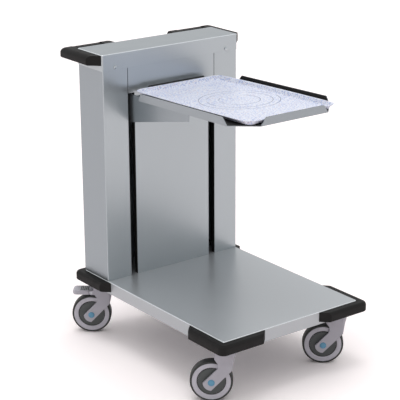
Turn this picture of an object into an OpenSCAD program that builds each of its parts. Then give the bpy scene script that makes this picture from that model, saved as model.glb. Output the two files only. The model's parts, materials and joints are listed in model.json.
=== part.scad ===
// Mobile dispenser for serving trays. A sprung platform carries the stack of
// trays and rides on two arms that reach out of the slots of a slim tower, so
// that the top tray always stays at working height. The whole stands on a low
// deck with corner bumpers and four swivel castors, the rear two with brakes.
// X runs across the tower, the open side faces -Y and Z is up from the floor.

/* [Deck] */
// Width of the deck and of the tower that stands on it
deck_w = 505; // [440:1:640]
// Length of the deck from its front edge to the tower's back
deck_l = 715; // [660:1:900]
// Height of the deck's folded edge
deck_h = 40; // [30:1:60]
// Thickness of the deck's sheet
deck_t = 2; // [1:0.1:3]
// Width of the lip that turns in along the bottom of the deck's edge
deck_lip = 14; // [8:1:16]
// Corner radius of the deck in plan
deck_r = 5; // [3:0.5:12]
// Width of the two channels under the deck
channel_w = 56; // [40:1:56]

/* [Tower] */
// Depth of the tower
tower_d = 132; // [120:1:180]
// Height from the deck's upper face to the top of the cap
tower_h = 715; // [640:5:900]
// Thickness of the tower's sheets
panel_t = 1.5; // [1:0.1:2.5]
// Distance between the middles of the two slots
slot_pitch = 304; // [240:2:330]
// Width of a slot
slot_w = 24; // [16:1:30]
// Depth of the folds along the slots
fold_w = 15; // [8:1:20]
// Width of the folds along the back of the side panels
back_fold_w = 22; // [14:1:30]
// Width of the seams beside the centre panel
seam_w = 1.5; // [0.4:0.1:2.5]
// Height of the cap's turned-down edge
cap_h = 50; // [36:1:60]
// Height of the cap screws above the lower edge of the cap
cap_screw_up = 8; // [7:0.5:14]
// Distance from the side of the tower to a cap screw
cap_screw_in = 44; // [30:1:60]
// Radius of a cap screw's head
screw_head_r = 5.5; // [4:0.5:7]
// Radius of a cap screw's shank
screw_r = 2.5; // [2:0.25:3.5]

/* [Handles and bumpers] */
// Height of a push handle
handle_h = 30; // [24:1:36]
// Distance from the top of the cap down to the top of a handle
handle_drop = 2.5; // [1.5:0.5:6]
// How far a handle stands out from the side of the cap
handle_side = 33; // [26:1:40]
// How far a handle stands out behind the cap
handle_rear = 55; // [50:1:70]
// Length of a handle across the back of the cap
handle_l = 142; // [126:1:200]
// Distance from the front of the cap to the slanted end of a handle
handle_start = 5; // [0:1:20]
// Length of the block at the inner end of a handle
handle_block = 34; // [24:1:40]
// Thickness of the bar that the fingers close around
handle_bar = 22; // [16:1:24]
// How much the bar is set back from the blocks at its ends
handle_step = 7; // [3:0.5:8]
// Radius of a handle's outer corner
handle_r = 14; // [10:1:24]
// Height of a deck bumper
bumper_h = 30; // [22:1:30]
// How far a bumper stands out from the deck's edge
bumper_out = 26; // [18:1:32]
// Length of a bumper's leg across the deck
bumper_l = 150; // [110:2:190]
// Length of a front bumper's leg along the deck
bumper_front_l = 159; // [110:1:190]
// Length of a rear bumper's leg along the deck
bumper_rear_l = 148; // [110:1:190]
// Radius of a bumper's outer corner
bumper_r = 20; // [12:1:26]

/* [Tray platform] */
// Width of the platform inside its upturned edges' feet
platform_w = 376; // [346:1:400]
// Length of the platform
platform_l = 556; // [546:1:600]
// Height of the platform's upturned edges
platform_h = 24; // [18:1:34]
// Thickness of the platform's sheet
platform_t = 2; // [1.5:0.1:3]
// How much of each corner of the platform is cut away
corner_cut = 65; // [50:1:80]
// How much each end of an upturned edge slants back
edge_cut = 18; // [8:1:26]
// Lean of the upturned edges away from the trays, in degrees
edge_lean = 7; // [2:1:10]
// Rise of the platform towards its front, in degrees
platform_tilt = 1.95; // [0:0.05:3]
// Height of the platform's middle above the deck when it is up
platform_up = 592; // [540:1:640]
// Height of the platform's middle above the deck when it is down
platform_down = 114; // [110:1:290]
// Gap between the platform and the face of the tower
platform_gap = 24.5; // [18:0.5:40]
// Thickness of the black lining
liner_t = 2; // [1.5:0.1:3]

/* [Arms and carriage] */
// Thickness of the sheet that an arm is made of
arm_t = 4; // [3:0.5:6]
// Depth of an arm at the face of the tower
arm_h = 87; // [60:1:95]
// Depth of an arm at its front end
arm_tip_h = 33; // [24:1:45]
// Distance from the face of the tower to an arm's front end
arm_l = 292; // [220:1:420]
// Width of the turned edge that carries the platform
arm_edge_w = 22; // [16:1:30]
// Thickness of the carriage's sheet
carriage_t = 3; // [2:0.5:5]
// Height of the carriage
carriage_h = 165; // [140:1:180]
// Distance from the tower's face to the front of the carriage
carriage_in = 52; // [44:1:58]
// Depth of the carriage's side edges
carriage_d = 42; // [36:1:48]
// Radius of a guide roller
roller_r = 15; // [12:0.5:18]
// Width of a guide roller
roller_w = 12; // [8:1:16]
// Radius of a guide roller's pin
roller_pin_r = 4; // [3:0.5:6]
// Depth of a guide rail, from the side panel inwards
rail_d = 32; // [26:1:38]
// Thickness of a guide rail's sheet
rail_t = 2.5; // [1.5:0.5:4]
// Outer radius of a spring
spring_r = 10; // [7:0.5:12]
// Radius of a spring's wire
wire_r = 1.5; // [1:0.1:2]
// Distance between the middles of neighbouring springs
spring_pitch = 62; // [40:1:70]
// Height of the rubber stops
buffer_h = 20; // [12:1:24]
// Radius of the rubber stops
buffer_r = 11; // [8:0.5:14]

/* [Serving tray] */
// Width of the tray across the middle of its rim
tray_w = 330; // [300:1:336]
// Length of the tray
tray_l = 530; // [500:1:536]
// Height of the tray
tray_h = 15; // [12:0.5:20]
// Thickness of the tray
tray_t = 2.5; // [2:0.1:4]
// Radius of the tray's corners
tray_r = 38; // [24:1:60]
// Width of the tray's rim
rim_w = 7; // [4:0.5:10]
// How much the long sides bow outwards
tray_bow = 5; // [1:0.5:8]

/* [Castors] */
// Height of a castor from the floor to its fixing
castor_h = 165; // [160:1:180]
// Diameter of a wheel
wheel_d = 125; // [100:1:126]
// Width of a wheel
wheel_w = 31; // [24:1:36]
// Radius of the wheel's light centre, inside the tyre
rim_r = 56; // [44:1:58]
// Radius of the dark disc on the wheel's hub
disc_r = 42; // [34:1:46]
// How far the wheel trails behind the swivel
castor_trail = 39.5; // [32:0.5:46]
// Angle that the wheels trail at when parked, in degrees
castor_angle = -39; // [-180:1:180]
// Distance from the deck's side to a castor's swivel
castor_in_x = 40; // [34:1:60]
// Distance from the deck's front or back edge to a castor's swivel
castor_in_y = 44; // [44:1:60]
// Radius of a fork's crown
crown_r = 31; // [28:1:34]
// Half the length of a fork's neck, below the crown
neck_r = 21; // [18:1:24]
// Height of a fork's crown
crown_h = 23; // [18:1:26]
// Width of the slanting leg of a fork
leg_w = 33; // [28:1:35]
// Slope of the legs, in degrees
leg_slope = 46.5; // [42:0.5:50]
// Length of a leg from the axle up to its knee
leg_l = 69; // [64:1:73]
// Radius of a leg's lower end, about the axle
leg_end_r = 24.5; // [19:0.5:26]
// Thickness of a fork's leg
leg_t = 7; // [5:0.5:9]
// Gap between the wheel and the fork's leg
wheel_gap = 2; // [1:0.25:3]
// Radius of the axle
axle_r = 4; // [3:0.5:6]
// Radius of the caps on the axle
axle_cap_r = 10; // [8:0.5:12]
// Radius of the pin that the fork swivels on
pin_r = 6; // [5:0.5:8]
// Distance from the swivel to the tip of a brake pedal
pedal_l = 98; // [90:1:104]
// Width of a brake pedal
pedal_w = 46; // [38:1:48]
// Thickness of a brake pedal
pedal_t = 14; // [12:0.5:15]
// Height of the brake pedal's hinge above the tyre
pedal_up = 12.5; // [12:0.5:14]
// Radius of the brake pedal's pin
pedal_pin_r = 2.5; // [1.5:0.25:3.5]

/* [Hidden] */
$fn = 48;

// Overrun of cuts past the face that they open
over = 1;
// Radial clearance of a running fit
run_gap = 0.05;
// Clearance between pieces that move past or rest on each other
rest_gap = 0.3;
// Clearance of a screw in its hole
screw_gap = 0.1;
// Room that is left above an arm at the top of its slot
slot_room = 4;
// Inner corner radius of folded sheet
bend_r = 1.5;
// Thickness of the slices that a hull joins
skin = 0.01;

// Colours
steel = "#b4b8bb";
steel_dark = "#8c9194";
black_plastic = "#262425";
grey_plastic = "#9c9aa0";
dark_grey = "#3c403f";
tyre_black = "#2b2d2c";
cap_blue = "#5b92ad";
tray_white = "#d5dae6";
rubber = "#1c1b1b";

// Levels and main planes
deck_top = castor_h + deck_h;
tower_top = deck_top + tower_h;
overall_l = deck_l + bumper_out + panel_t + handle_rear;
deck_front = bumper_out - overall_l / 2;
deck_back = deck_front + deck_l;
deck_mid = (deck_front + deck_back) / 2;
tower_front = deck_back - tower_d;
tower_mid = deck_back - tower_d / 2;
slot_in = slot_pitch / 2 - slot_w / 2;
slot_out = slot_pitch / 2 + slot_w / 2;
side_in = deck_w / 2 - panel_t;

// Platform, whose underside is the plane that its arms follow
platform_mid = tower_front - platform_gap - platform_l / 2;
platform_z = deck_top + platform_up;
function underside(y) = platform_z - tan(platform_tilt) * (y - platform_mid);
slot_top = underside(tower_front) + slot_room;

// Arms, whose lower edge rises towards the front
arm_front = tower_front - arm_l;
arm_out = slot_pitch / 2 + arm_t / 2;
arm_in = arm_out - arm_t;
bolt_r = 6;
bolt_h = 5;

// Carriage and its guide rollers
rail_room = 8;
roller_gap = 0.5;
roller_inset = 26;
roller_bevel = 2;
carriage_front = tower_front + carriage_in;
carriage_back = carriage_front + carriage_d;
carriage_low = underside(tower_front) - arm_h;
carriage_top = carriage_low + carriage_h;
carriage_half = side_in - rail_d - rail_room;
rail_y = carriage_back - roller_r;
roller_x = side_in - rail_t - roller_w / 2 - rail_room;
upper_roller_z = carriage_top - roller_inset;
lower_roller_z = carriage_low + roller_inset;
// Level of each guide roller, and 1 on the right or -1 on the left
roller_places = [
    [-1, upper_roller_z], [1, upper_roller_z], [-1, lower_roller_z], [1, lower_roller_z]
];

// Springs, the beam that they hang from and the pegs at their ends
hanger_t = 3;
hanger_h = 18;
hook_l = 12;
hook_r = 4;
hook_bar_h = 14;
hanger_z = carriage_top + rest_gap + buffer_h;
spring_low = carriage_low + hook_bar_h + hook_l;
spring_high = hanger_z - hook_l;
turns = floor((spring_high - spring_low) / (wire_r * 3));
travel = platform_up - platform_down;
lower_stop_h = carriage_low - travel - rest_gap - deck_top;

// Rounding of the mouldings' upper edge: shares of the stand-out and of the height
handle_round_shares = [0.5, 0.5];
bumper_round_shares = [0.38, 0.38];
// Radius of the mouldings' lower edge, and thickness of the slices that they are made of
foot_r = 4;
slice_t = 0.4;

// Castors
wheel_r = wheel_d / 2;
fork_in = wheel_w / 2 + wheel_gap;
fork_out = fork_in + leg_t;
bearing_h = 6;
crown_top = castor_h - bearing_h - rest_gap;
well_r = wheel_r + 2 * wheel_gap;
wheel_dish = 3;
axle_cap_h = 3;
shoe_h = 3;
shoe_l = 14;
pedal_corner_r = 14;
crown_foot = crown_top - crown_h;
pedal_hinge_x = -crown_r - pedal_t / 2 - rest_gap;
pedal_hinge_z = wheel_d + pedal_up;
castor_x = deck_w / 2 - castor_in_x;
front_castor_y = deck_front + castor_in_y;
rear_castor_y = deck_back - castor_in_y;

// Flat shapes that keep true arcs

module round_rect(w, l, r) {
    square([w - 2 * r, l], center = true);
    square([w, l - 2 * r], center = true);
    for (sx = [-1, 1], sy = [-1, 1])
        translate([sx * (w / 2 - r), sy * (l / 2 - r)])
            circle(r);
}

// Rectangle between two corners
module area(low, high) {
    translate(low)
        square([high[0] - low[0], high[1] - low[1]]);
}

// Block between two corners
module block(low, high) {
    translate(low)
        cube([high[0] - low[0], high[1] - low[1], high[2] - low[2]]);
}

// Deck

module deck_panel() {
    color(steel)
    translate([0, deck_mid, 0])
    difference() {
        translate([0, 0, castor_h])
            linear_extrude(deck_h)
                round_rect(deck_w, deck_l, deck_r);
        translate([0, 0, castor_h + deck_t])
            linear_extrude(deck_h - 2 * deck_t)
                round_rect(deck_w - 2 * deck_t, deck_l - 2 * deck_t, deck_r - deck_t);
        translate([0, 0, castor_h - over])
            linear_extrude(deck_t + 2 * over)
                round_rect(deck_w - 2 * deck_lip, deck_l - 2 * deck_lip, bend_r);
    }
}

// The two channels across the deck that the castors are bolted to
module deck_channels() {
    color(steel_dark)
    for (y = [front_castor_y, rear_castor_y])
        difference() {
            block([deck_lip - deck_w / 2, y - channel_w / 2, castor_h],
                  [deck_w / 2 - deck_lip, y + channel_w / 2, deck_top - deck_t]);
            block([-deck_w / 2, y - channel_w / 2 + deck_t, castor_h + deck_t],
                  [deck_w / 2, y + channel_w / 2 - deck_t, deck_top]);
        }
}

// Tower

// Plan of the tower's sheet all round
module tower_ring() {
    translate([0, tower_mid])
    difference() {
        round_rect(deck_w, tower_d, bend_r + panel_t);
        round_rect(deck_w - 2 * panel_t, tower_d - 2 * panel_t, bend_r);
    }
}

// A side panel with its round front corner and a fold at the back
module tower_side() {
    color(steel)
    translate([0, 0, deck_top])
        linear_extrude(tower_h - panel_t)
            intersection() {
                tower_ring();
                union() {
                    area([side_in - bend_r, tower_front - over], [deck_w, tower_mid]);
                    area([deck_w / 2 - back_fold_w, tower_mid], [deck_w, deck_back + over]);
                }
            }
}

// The strip between a slot and the corner of the tower, with a fold along the slot
module front_strip() {
    color(steel)
    difference() {
        translate([0, 0, deck_top])
            linear_extrude(tower_h - panel_t) {
                area([slot_out, tower_front], [side_in - bend_r, tower_front + panel_t]);
                area([slot_out, tower_front], [slot_out + panel_t, tower_front + fold_w]);
            }
        cap_screw_hole();
    }
}

module tower_side_left() {
    mirror([1, 0, 0])
        tower_side();
}

module tower_side_right() {
    tower_side();
}

module front_strip_left() {
    mirror([1, 0, 0])
        front_strip();
}

module front_strip_right() {
    front_strip();
}

// The T-shaped centre panel: wide above the slots, narrow between them
module centre_panel() {
    color(steel) {
        block([seam_w - slot_out, tower_front, slot_top],
              [slot_out - seam_w, tower_front + panel_t, tower_top - panel_t]);
        block([-slot_in, tower_front, deck_top],
              [slot_in, tower_front + panel_t, slot_top]);
        for (s = [-1, 1])
            translate([s * (slot_in - panel_t / 2), tower_front + fold_w / 2, 0])
                block([-panel_t / 2, -fold_w / 2, deck_top],
                      [panel_t / 2, fold_w / 2, slot_top]);
        for (s = [-1, 1])
            translate([s * slot_pitch / 2, 0, 0])
                block([seam_w - slot_w / 2, tower_front, slot_top],
                      [slot_w / 2 - seam_w, tower_front + fold_w, slot_top + panel_t]);
    }
}

// The back cover stands inside the folds of the side panels, with folds of its own
module back_cover() {
    cover_half = side_in - rest_gap;
    cover_back = deck_back - panel_t;
    color(steel)
    translate([0, 0, deck_top])
        linear_extrude(tower_h - panel_t)
            intersection() {
                translate([0, cover_back - fold_w])
                    difference() {
                        round_rect(2 * cover_half, 2 * fold_w, bend_r);
                        round_rect(2 * (cover_half - panel_t), 2 * (fold_w - panel_t), bend_r);
                    }
                area([-cover_half, cover_back - fold_w], [cover_half, cover_back]);
            }
}

module cap_screw_hole() {
    translate([deck_w / 2 - cap_screw_in, tower_front, tower_top - cap_h + cap_screw_up])
        rotate([90, 0, 0])
            cylinder(r = screw_r + screw_gap, h = 2 * fold_w, center = true);
}

module top_cap() {
    color(steel)
    difference() {
        translate([0, tower_mid, tower_top - cap_h])
        difference() {
            linear_extrude(cap_h)
                round_rect(deck_w + 2 * panel_t, tower_d + 2 * panel_t, bend_r + 2 * panel_t);
            translate([0, 0, -over])
                linear_extrude(cap_h - panel_t + over)
                    round_rect(deck_w, tower_d, bend_r + panel_t);
        }
        for (s = [0, 1])
            mirror([s, 0, 0])
                cap_screw_hole();
    }
}

// Two domed screws through the front of the cap
module cap_screws() {
    head_h = screw_head_r / 2;
    color(steel)
    for (s = [-1, 1])
        translate([s * (deck_w / 2 - cap_screw_in), tower_front - panel_t,
                   tower_top - cap_h + cap_screw_up])
            rotate([90, 0, 0]) {
                intersection() {
                    cylinder(r = screw_head_r, h = head_h);
                    translate([0, 0, head_h - 2 * screw_head_r])
                        sphere(2 * screw_head_r);
                }
                translate([0, 0, -3 * panel_t])
                    cylinder(r = screw_r, h = 3 * panel_t);
            }
}

// Corner mouldings: deck bumpers and push handles

// Plan of a moulding round the corner at [w, d]. Its side leg ends in a slant, and
// its back leg in a slant of the given run or, with none, in a round corner.
function corner_plan(side, back, leg_x, leg_y, slant, w, d, r) = concat(
    [[w, d - leg_y], [w + side, d - leg_y + side]],
    [for (a = [0 : 10 : 90])
        [w + side - r + r * cos(a), d + back - r + r * sin(a)]],
    slant > 0
        ? [[w - leg_x + slant, d + back]]
        : [for (a = [90 : 15 : 180])
            [w - leg_x + r + r * cos(a), d + back - r + r * sin(a)]],
    [[w - leg_x, d]]
);

// Section of a moulding from its upper edge to its foot: how far it falls short and how high
function moulding_section(side, h, shares) = concat(
    [for (a = [0 : 15 : 90])
        [side * shares[0] * (1 - sin(a)), h - slice_t - h * shares[1] * (1 - cos(a))]],
    [for (a = [0 : 30 : 90])
        [foot_r * (1 - cos(a)), foot_r * (1 - sin(a))]]
);

// A convex moulding, the hull of thin slices, that closes round the corner [w, d]
module corner_moulding(side, back, leg_x, leg_y, slant, h, r, shares, w, d, seat_w, seat_l) {
    difference() {
        hull()
        for (p = moulding_section(side, h, shares))
            translate([0, 0, p[1]])
                linear_extrude(slice_t)
                    polygon(corner_plan(side - p[0], back - p[0], leg_x, leg_y,
                                        slant > 0 ? slant - p[0] : 0, w, d, r - p[0] * r / side));
        translate([w - seat_w, d - seat_l, -over])
            linear_extrude(h + 2 * over)
                square([seat_w, seat_l]);
    }
}

module bumper(leg_y) {
    color(black_plastic)
    translate([0, deck_mid, deck_top - deck_t - bumper_h])
        corner_moulding(bumper_out, bumper_out, bumper_l, leg_y, bumper_out, bumper_h, bumper_r,
                        bumper_round_shares, deck_w / 2, deck_l / 2, deck_w, deck_l);
}

// Copies a moulding drawn at the right rear corner to one of the deck's corners
module at_deck_corner(right, rear) {
    translate([0, deck_mid, 0])
        mirror([right ? 0 : 1, 0, 0])
            mirror([0, rear ? 0 : 1, 0])
                translate([0, -deck_mid, 0])
                    children();
}

module bumper_front_left() {
    at_deck_corner(false, false)
        bumper(bumper_front_l);
}

module bumper_front_right() {
    at_deck_corner(true, false)
        bumper(bumper_front_l);
}

module bumper_rear_left() {
    at_deck_corner(false, true)
        bumper(bumper_rear_l);
}

module bumper_rear_right() {
    at_deck_corner(true, true)
        bumper(bumper_rear_l);
}

// A push handle: corner block, finger opening, bar and end block
module push_handle() {
    cap_half = deck_w / 2 + panel_t;
    cap_back = deck_back + panel_t;
    inner_x = cap_half - handle_l + handle_block;
    outer_x = cap_half - handle_step;
    bar_out = cap_back + handle_rear - handle_step;
    bar_in = bar_out - handle_bar;
    opening_r = 1.5 * handle_step;
    opening_l = bar_in - cap_back + opening_r;
    color(black_plastic)
    translate([0, 0, tower_top - handle_drop - handle_h])
    difference() {
        corner_moulding(handle_side, handle_rear, handle_l, tower_d + 2 * panel_t - handle_start,
                        0, handle_h, handle_r, handle_round_shares,
                        cap_half, cap_back, 2 * cap_half, tower_d + 2 * panel_t);
        translate([0, 0, -over])
            linear_extrude(handle_h + 2 * over) {
                translate([(inner_x + outer_x) / 2, bar_in - opening_l / 2])
                    round_rect(outer_x - inner_x, opening_l, opening_r);
                polygon([
                    [inner_x, cap_back + handle_rear + over],
                    [inner_x + handle_step, bar_out],
                    [outer_x - handle_step, bar_out],
                    [outer_x, cap_back + handle_rear + over]
                ]);
            }
        block([inner_x, cap_back, handle_h - 0.4 * handle_step],
              [outer_x, cap_back + handle_rear + over, handle_h + over]);
    }
}

module push_handle_left() {
    mirror([1, 0, 0])
        push_handle();
}

module push_handle_right() {
    push_handle();
}

// Guides, springs and stops inside the tower

module guide_rail() {
    rail_half = roller_r + roller_gap + rail_t;
    color(steel_dark)
    translate([0, rail_y, deck_top])
        linear_extrude(tower_h - panel_t - hanger_t)
            difference() {
                area([side_in - rail_d, -rail_half], [side_in, rail_half]);
                area([side_in - rail_d - over, rail_t - rail_half],
                     [side_in - rail_t, rail_half - rail_t]);
            }
}

module guide_rails() {
    guide_rail();
    mirror([1, 0, 0])
        guide_rail();
}

// Cross beam between the rails with a peg for each spring
module spring_hanger() {
    beam_half = side_in - rail_d;
    beam_d = 2 * (roller_r + roller_gap + rail_t);
    color(steel_dark) {
        translate([0, rail_y, hanger_z])
        difference() {
            block([-beam_half, -beam_d / 2, 0], [beam_half, beam_d / 2, hanger_h]);
            block([-beam_half - over, hanger_t - beam_d / 2, hanger_t],
                  [beam_half + over, beam_d / 2 - hanger_t, hanger_h + over]);
        }
        for (i = [0 : 3])
            translate([spring_x(i), rail_y, spring_high])
                cylinder(r = hook_r, h = hook_l);
    }
}

function spring_x(i) = (i - 1.5) * spring_pitch;

// Wound tension spring: the wire's turns lie round a tube, with a plain end
module spring(i) {
    spring_l = spring_high - spring_low;
    turn_pitch = spring_l / turns;
    color(steel_dark)
    translate([spring_x(i), rail_y, spring_low])
        rotate_extrude() {
            area([hook_r, 0], [spring_r - wire_r, spring_l]);
            for (k = [0 : turns - 1])
                translate([spring_r - wire_r, (k + 0.5) * turn_pitch])
                    circle(r = wire_r, $fn = 16);
            area([0, 0], [spring_r - wire_r, wire_r]);
            area([0, spring_l - wire_r], [spring_r - wire_r, spring_l]);
        }
}

module spring_1() {
    spring(0);
}

module spring_2() {
    spring(1);
}

module spring_3() {
    spring(2);
}

module spring_4() {
    spring(3);
}

// Rubber stops that the carriage meets at the top and at the bottom
module stops(h) {
    color(rubber)
    for (s = [-1, 1])
        translate([s * (carriage_half - 2 * buffer_r), carriage_front + carriage_d / 2, 0])
            cylinder(r = buffer_r, h = h);
}

module rubber_stops() {
    translate([0, 0, carriage_top + rest_gap])
        stops(buffer_h);
    translate([0, 0, deck_top])
        stops(lower_stop_h);
}

// Carriage

// Folded plate with side edges, a top shelf that meets the stops and a hook bar
module carriage_plate() {
    color(steel_dark) {
        block([-carriage_half, carriage_front, carriage_low],
              [carriage_half, carriage_front + carriage_t, carriage_top]);
        for (s = [-1, 1])
            translate([s * (carriage_half - carriage_t / 2), 0, 0])
                block([-carriage_t / 2, carriage_front, carriage_low],
                      [carriage_t / 2, carriage_back, carriage_top]);
        for (z = [carriage_low, carriage_top - carriage_t])
            for (s = [-1, 1])
                translate([s * (carriage_half - 2 * buffer_r), 0, z])
                    block([-2 * buffer_r, carriage_front, 0],
                          [2 * buffer_r, carriage_back, carriage_t]);
        block([spring_x(0) - 2 * spring_r, carriage_front, carriage_low],
              [spring_x(3) + 2 * spring_r, carriage_back, carriage_low + carriage_t]);
        block([spring_x(0) - 2 * spring_r, rail_y - hook_r, carriage_low],
              [spring_x(3) + 2 * spring_r, rail_y + hook_r, carriage_low + hook_bar_h]);
        for (i = [0 : 3])
            translate([spring_x(i), rail_y, carriage_low + hook_bar_h])
                cylinder(r = hook_r, h = hook_l);
    }
}

module at_roller(i) {
    translate([0, rail_y, roller_places[i][1]])
        mirror([roller_places[i][0] < 0 ? 1 : 0, 0, 0])
            rotate([0, 90, 0])
                children();
}

// Four pins on the carriage's side edges, each with a collar and a head
module roller_pins() {
    collar_end = roller_x - roller_w / 2 - rest_gap;
    head_start = roller_x + roller_w / 2 + rest_gap;
    color(steel)
    for (i = [0 : 3])
        at_roller(i) {
            translate([0, 0, carriage_half])
                cylinder(r = 1.5 * roller_pin_r, h = collar_end - carriage_half);
            translate([0, 0, collar_end])
                cylinder(r = roller_pin_r, h = head_start - collar_end);
            translate([0, 0, head_start])
                cylinder(r = 1.5 * roller_pin_r, h = carriage_t);
        }
}

module roller(i) {
    color(grey_plastic)
    at_roller(i)
        translate([0, 0, roller_x])
            rotate_extrude()
                polygon([
                    [roller_pin_r + run_gap, -roller_w / 2],
                    [roller_r - roller_bevel, -roller_w / 2],
                    [roller_r, roller_bevel - roller_w / 2],
                    [roller_r, roller_w / 2 - roller_bevel],
                    [roller_r - roller_bevel, roller_w / 2],
                    [roller_pin_r + run_gap, roller_w / 2]
                ]);
}

module roller_upper_left() {
    roller(0);
}

module roller_upper_right() {
    roller(1);
}

module roller_lower_left() {
    roller(2);
}

module roller_lower_right() {
    roller(3);
}

// Arms

// Things that lie along the platform's underside are drawn from its middle
module on_platform() {
    translate([0, platform_mid, platform_z])
        rotate([-platform_tilt, 0, 0])
            children();
}

module arm() {
    edge_back = (tower_front - platform_gap - platform_mid) / cos(platform_tilt);
    edge_front = (arm_front - platform_mid) / cos(platform_tilt);
    color(steel) {
        translate([arm_out, 0, 0])
            rotate([90, 0, -90])
                linear_extrude(arm_t)
                    polygon([
                        [-arm_front, underside(arm_front) - arm_tip_h],
                        [-arm_front, underside(arm_front)],
                        [-carriage_front, underside(carriage_front)],
                        [-carriage_front, carriage_low],
                        [-tower_front, carriage_low]
                    ]);
        on_platform()
            block([arm_in - arm_edge_w, edge_front, -arm_t],
                  [arm_in, edge_back, 0]);
        block([arm_in - arm_edge_w, carriage_front - arm_t, carriage_low],
              [arm_in, carriage_front, underside(carriage_front) - arm_t]);
    }
}

module arm_left() {
    mirror([1, 0, 0])
        arm();
}

module arm_right() {
    arm();
}

// Hexagon bolts through the arms' rear edges into the carriage
module arm_bolts() {
    color(steel)
    for (s = [-1, 1], z = [carriage_low + arm_h / 4, carriage_low + arm_h * 3 / 4])
        translate([s * (arm_in - arm_edge_w / 2), carriage_front - arm_t, z])
            rotate([90, 0, 0])
                cylinder(r = bolt_r, h = bolt_h, $fn = 6);
}

// Platform and its lining

// Floor of the platform: a rectangle with its four corners cut off
module platform_floor(inset) {
    w = platform_w / 2 - inset;
    l = platform_l / 2 - inset;
    c = corner_cut;
    polygon([
        [w, c - l], [w, l - c], [w - c, l], [c - w, l],
        [-w, l - c], [-w, c - l], [c - w, -l], [w - c, -l]
    ]);
}

// An upturned edge along X, with slanted ends, that leans out towards -Y
module upturned_edge(length, t, h) {
    intersection() {
        rotate([90 + edge_lean, 0, 0])
            linear_extrude(t)
                polygon([
                    [-length / 2, 0], [length / 2, 0],
                    [length / 2 - edge_cut, h], [edge_cut - length / 2, h]
                ]);
        block([-length, -h, 0], [length, h, h]);
    }
}

// Floor and four edges of sheet, drawn inside the outline by the inset
module tub(inset, t, h) {
    w = platform_w - 2 * inset;
    l = platform_l - 2 * inset;
    linear_extrude(t)
        platform_floor(inset);
    for (s = [0, 180])
        rotate([0, 0, s]) {
            translate([0, t - l / 2, 0])
                upturned_edge(w - 2 * corner_cut, t, h);
            rotate([0, 0, 90])
                translate([0, t - w / 2, 0])
                    upturned_edge(l - 2 * corner_cut, t, h);
        }
}

module tray_platform() {
    color(steel)
    on_platform()
        tub(0, platform_t, platform_h);
}

module platform_liner() {
    color(rubber)
    on_platform()
        translate([0, 0, platform_t])
            tub(platform_t / cos(edge_lean), liner_t, platform_h - platform_t);
}

// Serving tray

// Outline of the tray with round corners and long sides that bow outwards
function tray_outline(w, l, r) = [
    for (q = [0 : 3])
        let (sx = (q == 0 || q == 3) ? 1 : -1, sy = q < 2 ? 1 : -1)
            for (a = [0 : 15 : 90])
                let (b = a + 90 * q)
                    [sx * (w / 2 - tray_bow - r) + r * cos(b) +
                     sx * tray_bow * (1 - pow((sy * (l / 2 - r) + r * sin(b)) / (l / 2), 2)),
                     sy * (l / 2 - r) + r * sin(b)]
];

// The middle of each long side gets points of its own, so that its bow is round
function tray_side(w, l, r, s) = [
    for (k = [-3 : 3])
        let (y = s * k * (l / 2 - r) / 4)
            [s * (w / 2 - tray_bow * pow(y / (l / 2), 2)), y]
];

module tray_slice(w, l, r, z, h) {
    points = tray_outline(w, l, r);
    corner = len(points) / 4;
    translate([0, 0, z])
        linear_extrude(h)
            polygon(concat(
                [for (i = [0 : 2 * corner - 1]) points[i]],
                tray_side(w, l, r, -1),
                [for (i = [2 * corner : 4 * corner - 1]) points[i]],
                tray_side(w, l, r, 1)
            ));
}

module serving_tray() {
    foot = 2 * rim_w + tray_h / 2;
    dish = foot - rim_w;
    color(tray_white)
    on_platform()
    translate([0, 0, platform_t + liner_t + rest_gap])
    difference() {
        union() {
            hull() {
                tray_slice(tray_w - 2 * foot, tray_l - 2 * foot, tray_r - foot / 2, 0, skin);
                tray_slice(tray_w - 2 * rim_w, tray_l - 2 * rim_w, tray_r - rim_w / 2,
                           tray_h - tray_t, skin);
            }
            tray_slice(tray_w, tray_l, tray_r, tray_h - tray_t, tray_t);
        }
        hull() {
            tray_slice(tray_w - 2 * foot, tray_l - 2 * foot, tray_r - foot / 2, tray_t, skin);
            tray_slice(tray_w - 2 * rim_w, tray_l - 2 * rim_w, tray_r - rim_w / 2,
                       tray_h, over);
        }
    }
}

// Castors, drawn with the swivel on the Z axis and the wheel trailing to -X

module at_castor(right, rear) {
    translate([right ? castor_x : -castor_x, rear ? rear_castor_y : front_castor_y, 0])
        rotate([0, 0, castor_angle])
            children();
}

module at_axle() {
    translate([-castor_trail, 0, wheel_r])
        rotate([90, 0, 0])
            children();
}

// Fixed bearing head with the pin that the fork turns on
module swivel() {
    color(steel_dark) {
        translate([0, 0, castor_h - bearing_h])
            cylinder(r = crown_r - leg_t / 2, h = bearing_h);
        translate([0, 0, crown_top - 2 * bearing_h])
            cylinder(r = pin_r, h = 2 * bearing_h + rest_gap);
    }
}

// Side view of the fork: crown, neck and one slanting leg with a round lower end
module fork_side() {
    waist = crown_r - neck_r;
    end_angle = asin(leg_w / 2 / leg_end_r);
    knee = [
        leg_l * cos(leg_slope) + leg_w / 2 * sin(leg_slope) - castor_trail,
        leg_l * sin(leg_slope) - leg_w / 2 * cos(leg_slope) + wheel_r
    ];
    heel = wheel_r + leg_w / 2 / cos(leg_slope) + (castor_trail - neck_r) * tan(leg_slope);
    polygon(concat(
        [
            [crown_r, crown_top],
            [crown_r, crown_foot + waist],
            [crown_r - waist / 2, crown_foot],
            knee
        ],
        [for (k = [4 : -1 : -4])
            let (a = 180 + leg_slope + k / 4 * end_angle)
                [leg_end_r * cos(a) - castor_trail, leg_end_r * sin(a) + wheel_r]],
        [
            [-neck_r, heel],
            [-neck_r, crown_foot - 1.5 * waist],
            [-crown_r, crown_foot],
            [-crown_r, crown_top]
        ]
    ));
}

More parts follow.
